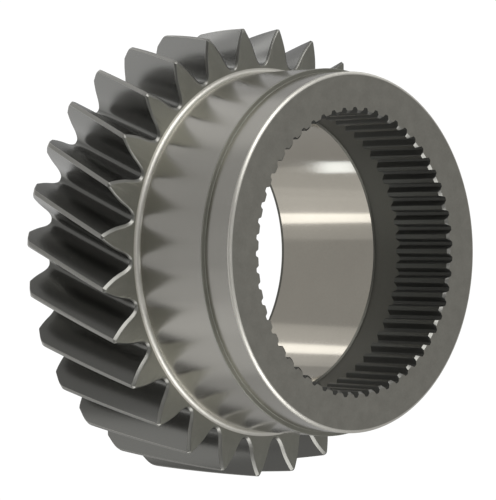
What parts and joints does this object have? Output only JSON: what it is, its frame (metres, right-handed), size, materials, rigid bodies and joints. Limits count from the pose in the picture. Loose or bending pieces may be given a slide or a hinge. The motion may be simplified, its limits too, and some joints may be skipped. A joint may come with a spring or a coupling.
{
  "type": "transmission gear",
  "caption": "Helical transmission gear with a long ground hub, a plain bore and an internal spline in the hub's end.",
  "frame": {"origin": "on the turning axis, in the plane of the gear end's standing face", "axes": "+Z along the turning axis from the gear's end face to the hub's splined face; +X through the middle of a gear tooth space at the standing face"},
  "size_m": [0.0988, 0.0988, 0.053],
  "materials": {
    "steel": "hardened steel: satin turned faces, ground bore and journal, darker tooth flanks"
  },
  "bodies": {
    "root": {"transmission_gear": "steel"}
  },
  "joints": []
}
